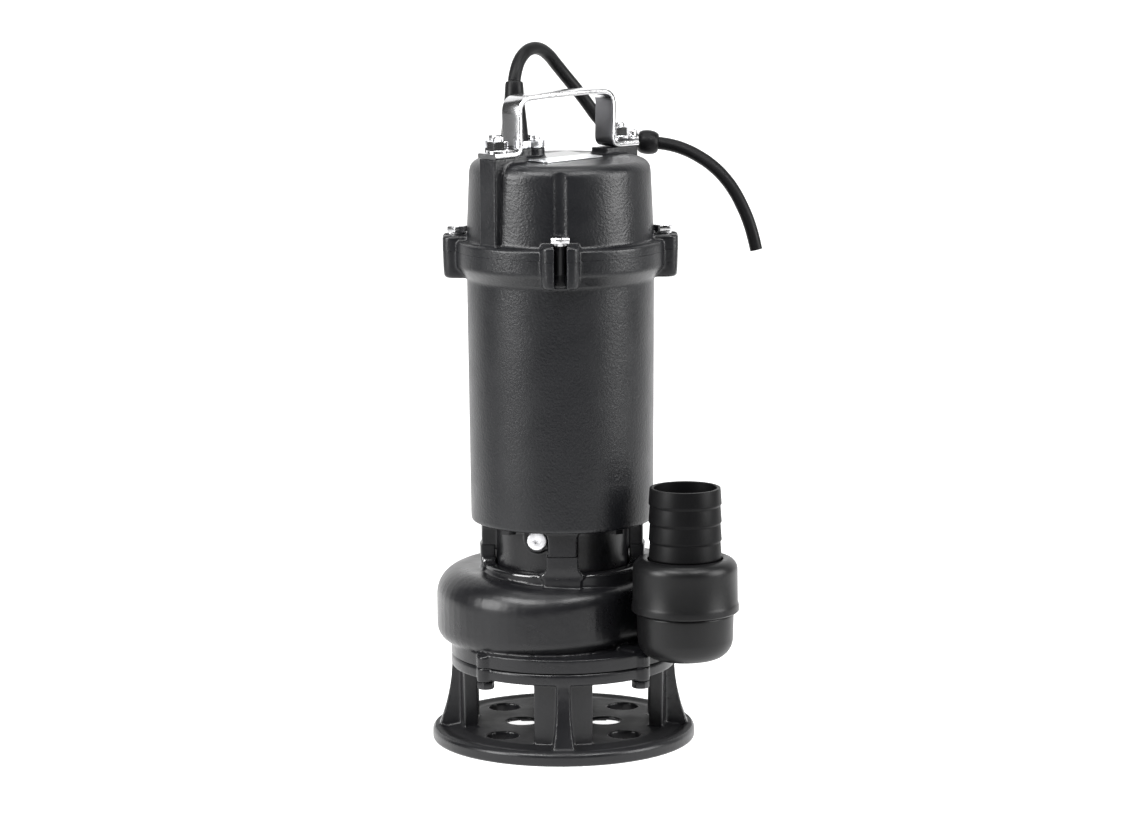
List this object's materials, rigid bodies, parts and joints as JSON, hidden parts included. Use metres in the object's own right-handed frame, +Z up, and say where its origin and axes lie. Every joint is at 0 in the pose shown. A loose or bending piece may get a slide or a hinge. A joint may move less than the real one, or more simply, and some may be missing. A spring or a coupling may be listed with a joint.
{
  "type": "submersible sump pump",
  "caption": "Electric submersible sump pump with a cast body on a strainer base, a bent strap handle, a side discharge elbow with a barbed hose tail, and a power cable.",
  "frame": {"origin": "centre of the underside of the strainer base's foot disc", "axes": "+Z up along the motor's axis, -Y towards the front, +X towards the side that the discharge stands on"},
  "size_m": [0.2419, 0.2054, 0.5026],
  "materials": {
    "cast_black": "smooth semi-gloss black paint over cast iron",
    "hammered_black": "satin black hammered paint over cast iron",
    "stainless": "polished stainless steel",
    "zinc": "bright zinc plate",
    "plastic": "satin dark grey moulded plastic",
    "rubber": "matt black rubber",
    "steel": "ground steel",
    "laminations": "varnished sheet stack",
    "copper": "enamelled wire",
    "aluminium": "satin",
    "ceramic": "fine ground ceramic",
    "fibre": "phenolic fibre"
  },
  "bodies": {
    "root": {"base_bolt_1": "cast_black", "base_bolt_2": "cast_black", "base_bolt_3": "cast_black", "base_bolt_4": "cast_black", "base_strainer": "cast_black", "cable_boot": "rubber", "cable_clamp": "stainless", "cable_sleeve": "rubber", "chamber_stud_1": "steel", "chamber_stud_2": "steel", "chamber_stud_3": "steel", "chamber_stud_4": "steel", "clamp_screw": "stainless", "cover_bolt_1": "stainless", "cover_bolt_2": "stainless", "cover_bolt_3": "stainless", "cover_bolt_4": "stainless", "cover_gasket": "rubber", "discharge_elbow": "plastic", "elbow_bolt_1": "zinc", "elbow_bolt_2": "zinc", "gland_plate": "zinc", "gland_screw_1": "stainless", "gland_screw_2": "stainless", "handle": "stainless", "handle_stud_back": "stainless", "handle_stud_front": "stainless", "hose_tail": "plastic", "housing_screw_1": "steel", "housing_screw_2": "steel", "housing_screw_3": "steel", "housing_screw_4": "steel", "lower_bearing_outer": "steel", "motor_housing": "hammered_black", "name_plate": "aluminium", "oil_chamber": "cast_black", "oil_plug": "zinc", "power_cable": "rubber", "run_capacitor": "aluminium", "seal_seat": "ceramic", "stator_core": "laminations", "terminal_block": "fibre", "top_cover": "hammered_black", "union_nut": "plastic", "union_seal": "rubber", "upper_bearing_outer": "steel", "upper_bearing_plate": "cast_black", "volute_casing": "cast_black", "winding_lower": "copper", "winding_upper": "copper"},
    "rotor": {"shaft": "steel", "rotor_core": "laminations", "impeller": "cast_black", "impeller_nut": "steel", "seal_rotary": "steel", "lower_bearing_inner": "steel", "upper_bearing_inner": "steel"},
    "lower_balls": {"lower_bearing_balls": "steel"},
    "upper_balls": {"upper_bearing_balls": "steel"}
  },
  "joints": [
    {"name": "rotor_spin", "type": "hinge", "parent": "root", "child": "rotor", "pos_m": [0, 0, 0.25], "axis": [0, 0, 1], "continuous": true},
    {"name": "lower_balls_spin", "type": "hinge", "parent": "root", "child": "lower_balls", "pos_m": [0, 0, 0.18], "axis": [0, 0, 1], "continuous": true},
    {"name": "upper_balls_spin", "type": "hinge", "parent": "root", "child": "upper_balls", "pos_m": [0, 0, 0.3415], "axis": [0, 0, 1], "continuous": true}
  ],
  "couplings": [
    {"joint": "lower_balls_spin", "follows": "rotor_spin", "ratio": 0.38},
    {"joint": "upper_balls_spin", "follows": "rotor_spin", "ratio": 0.382}
  ]
}
